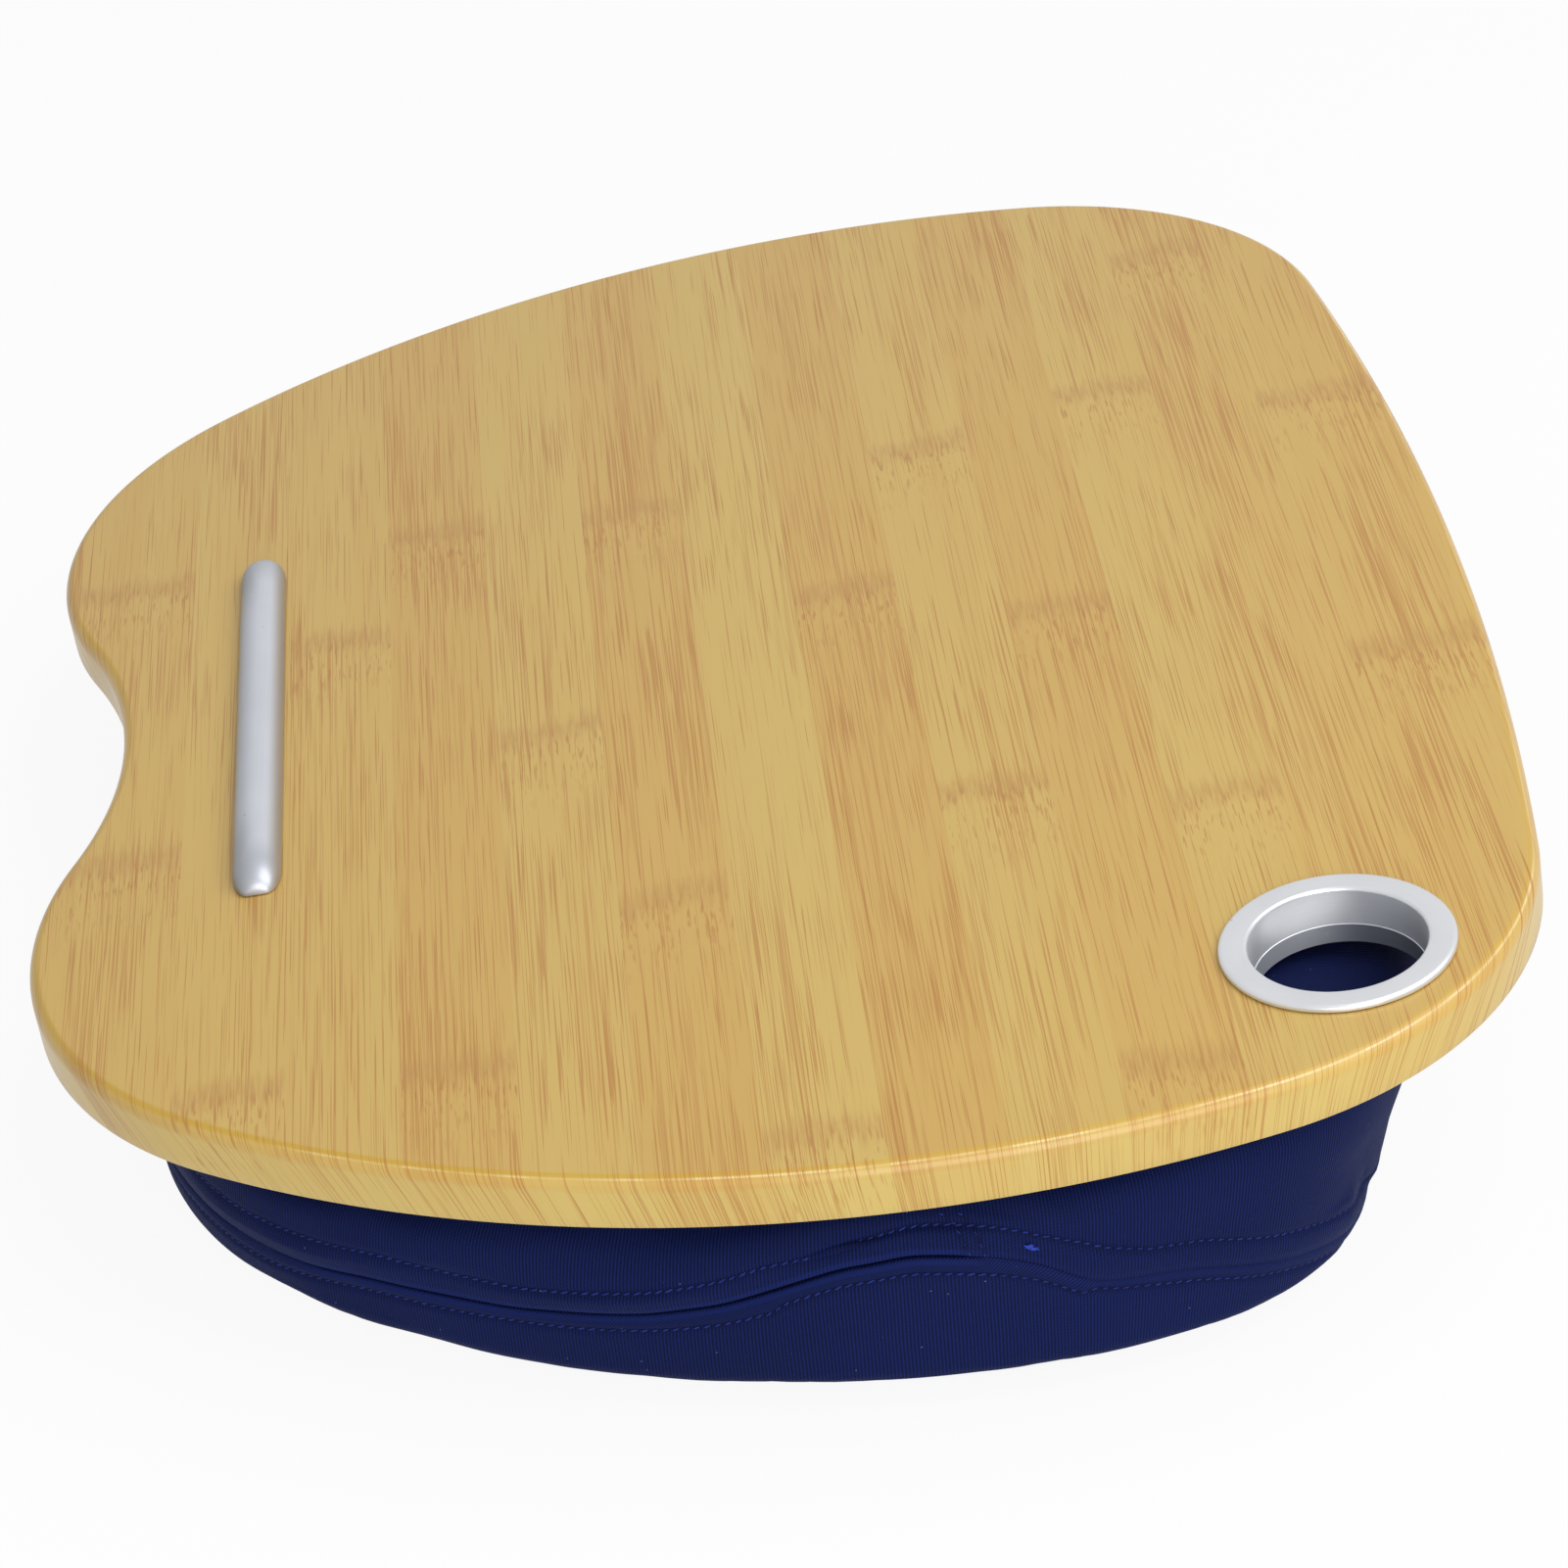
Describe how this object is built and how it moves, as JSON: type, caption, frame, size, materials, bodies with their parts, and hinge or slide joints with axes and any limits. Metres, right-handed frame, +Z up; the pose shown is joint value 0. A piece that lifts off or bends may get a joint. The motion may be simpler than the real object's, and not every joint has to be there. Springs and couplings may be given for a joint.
{
  "type": "laptop bed tray",
  "caption": "Kidney-shaped lap tray: bamboo-print board with a stop rail and a ring hole, held by hook-and-loop strips on a zipped bead cushion that tilts it to the user.",
  "frame": {"origin": "on the floor under the middle of the whole part", "axes": "+X to the user's right along the longest side, +Y away from the user, +Z up"},
  "size_m": [0.4416, 0.3374, 0.0781],
  "materials": {
    "fibreboard": "raw fibreboard",
    "bamboo_foil": "satin foil printed with bamboo strips",
    "silver": "satin silver lacquer",
    "screw_steel": "zinc plated",
    "hook_nylon": "black nylon hooks",
    "loop_nylon": "black nylon loops",
    "navy_fabric": "ribbed stretch fabric, navy",
    "inner_bag": "plain white lining",
    "zip_tape": "woven tape, dark navy",
    "zip_teeth": "nylon, dark navy",
    "zip_metal": "painted dark navy"
  },
  "bodies": {
    "cushion": {"cover_upper": "navy_fabric", "cover_lower": "navy_fabric", "bead_bag": "inner_bag", "loop_strip_back_left": "loop_nylon", "loop_strip_back_right": "loop_nylon", "loop_strip_front_left": "loop_nylon", "loop_strip_front_right": "loop_nylon", "zip_tape_upper": "zip_tape", "zip_tape_lower": "zip_tape", "zip_teeth_upper": "zip_teeth", "zip_teeth_lower": "zip_teeth", "zip_top_stop_upper": "zip_metal", "zip_top_stop_lower": "zip_metal", "zip_bottom_stop": "zip_metal"},
    "tray": {"board_core": "fibreboard", "bamboo_foil": "bamboo_foil", "grommet_ring": "silver", "stop_rail": "silver", "rail_screw_left": "screw_steel", "rail_screw_right": "screw_steel", "hook_strip_back_left": "hook_nylon", "hook_strip_back_right": "hook_nylon", "hook_strip_front_left": "hook_nylon", "hook_strip_front_right": "hook_nylon"},
    "slider": {"zip_slider": "zip_metal"},
    "pull": {"zip_pull": "zip_metal"}
  },
  "joints": [
    {"name": "tray_lift", "type": "slide", "parent": "cushion", "child": "tray", "axis": [0, -0.0698, 0.9976], "range_m": [0, 0.08]},
    {"name": "zip_travel", "type": "hinge", "parent": "cushion", "child": "slider", "pos_m": [-0.00012, 0.02582, 0.0415], "axis": [0, 0.1668, -0.986], "range_deg": [0, 33]},
    {"name": "pull_flip", "type": "hinge", "parent": "slider", "child": "pull", "pos_m": [0.21015, 0.01423, 0.03954], "axis": [0, 0.1668, -0.986], "range_deg": [0, 140]}
  ]
}
